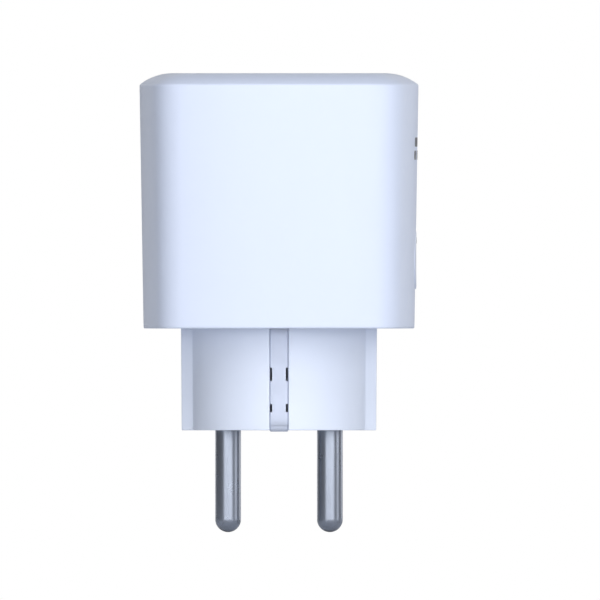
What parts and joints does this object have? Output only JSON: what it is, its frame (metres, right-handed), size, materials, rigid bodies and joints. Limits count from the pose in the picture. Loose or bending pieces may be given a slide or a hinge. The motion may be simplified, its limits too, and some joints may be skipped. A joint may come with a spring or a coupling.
{
  "type": "plug-in power meter",
  "caption": "Plug-in power meter with an earthed round-pin plug below, a recessed matching socket above and a push button on one side.",
  "frame": {"origin": "centre of the flat face that the two pins stand out of", "axes": "+Z away from the wall socket, towards the socket recess; the pins lie side by side along X; the earth strips face -Y and +Y; the push button is on the +X side"},
  "size_m": [0.052, 0.052, 0.0857],
  "materials": {
    "shell_white": "fine satin moulded plastic, faintly blue white",
    "insert_white": "satin moulded plastic, a shade deeper than the shell",
    "pin_nickel": "polished nickel plating",
    "earth_nickel": "satin nickel-plated sheet",
    "brass": "bright drawn brass",
    "copper": "bright copper sheet",
    "steel": "zinc-plated steel",
    "black_plastic": "moulded black",
    "grey_plastic": "moulded grey",
    "board_green": "solder-masked glass-fibre board",
    "board_black": "solder-masked glass-fibre board, black",
    "relay_blue": "moulded blue",
    "film_yellow": "moulded yellow",
    "varistor_blue": "dipped epoxy",
    "ferrite": "sintered ferrite",
    "led_clear": "clear lens"
  },
  "bodies": {
    "case": {"housing_shell": "shell_white", "plug_base": "shell_white", "socket_insert": "insert_white", "pin_live": "pin_nickel", "pin_neutral": "pin_nickel", "earth_strip_front": "earth_nickel", "earth_strip_back": "earth_nickel", "earth_bridge": "brass", "contact_live": "brass", "contact_neutral": "brass", "contact_holder": "grey_plastic", "shutter_spring": "steel", "holder_screw_1": "steel", "holder_screw_2": "steel", "case_screw_1": "steel", "case_screw_2": "steel", "case_screw_3": "steel", "case_screw_4": "steel", "main_board": "board_green", "live_bus_bar": "copper", "neutral_bus_bar": "copper", "switched_bus_bar": "copper", "current_shunt": "copper", "relay_case": "relay_blue", "relay_coil": "copper", "relay_yoke": "steel", "relay_contact": "copper", "transformer": "ferrite", "capacitor_high_voltage": "black_plastic", "capacitor_low_voltage": "black_plastic", "film_capacitor": "film_yellow", "varistor": "varistor_blue", "choke": "ferrite", "fuse_resistor": "grey_plastic", "bridge_rectifier": "black_plastic", "metering_chip": "black_plastic", "control_board": "board_black", "radio_board": "board_black", "radio_shield": "earth_nickel", "status_led": "led_clear", "tact_switch": "black_plastic"},
    "button": {"button_cap": "shell_white"},
    "plunger": {"switch_plunger": "black_plastic"},
    "shutter": {"shutter": "grey_plastic"},
    "clip_front": {"earth_clip_front": "earth_nickel"},
    "clip_back": {"earth_clip_back": "earth_nickel"},
    "armature": {"relay_armature": "steel"}
  },
  "joints": [
    {"name": "button_press", "type": "slide", "parent": "case", "child": "button", "axis": [-1, 0, 0], "range_m": [0, 0.0004], "stiffness_N_per_m": 1500},
    {"name": "plunger_press", "type": "slide", "parent": "case", "child": "plunger", "axis": [-1, 0, 0], "range_m": [0, 0.0004]},
    {"name": "shutter_turn", "type": "hinge", "parent": "case", "child": "shutter", "pos_m": [0, 0, 0.0458], "axis": [0, 0, 1], "range_deg": [0, 41], "stiffness_Nm_per_rad": 0.002},
    {"name": "clip_front_flex", "type": "hinge", "parent": "case", "child": "clip_front", "pos_m": [0, -0.0183, 0.0464], "axis": [1, 0, 0], "range_deg": [0, 4], "stiffness_Nm_per_rad": 0.3},
    {"name": "clip_back_flex", "type": "hinge", "parent": "case", "child": "clip_back", "pos_m": [0, 0.0183, 0.0464], "axis": [-1, 0, 0], "range_deg": [0, 4], "stiffness_Nm_per_rad": 0.3},
    {"name": "armature_pull", "type": "hinge", "parent": "case", "child": "armature", "pos_m": [0.0027, 0.0121, 0.0369], "axis": [0, -1, 0], "range_deg": [0, 3], "stiffness_Nm_per_rad": 0.02}
  ],
  "couplings": [
    {"joint": "plunger_press", "follows": "button_press", "ratio": 1}
  ]
}
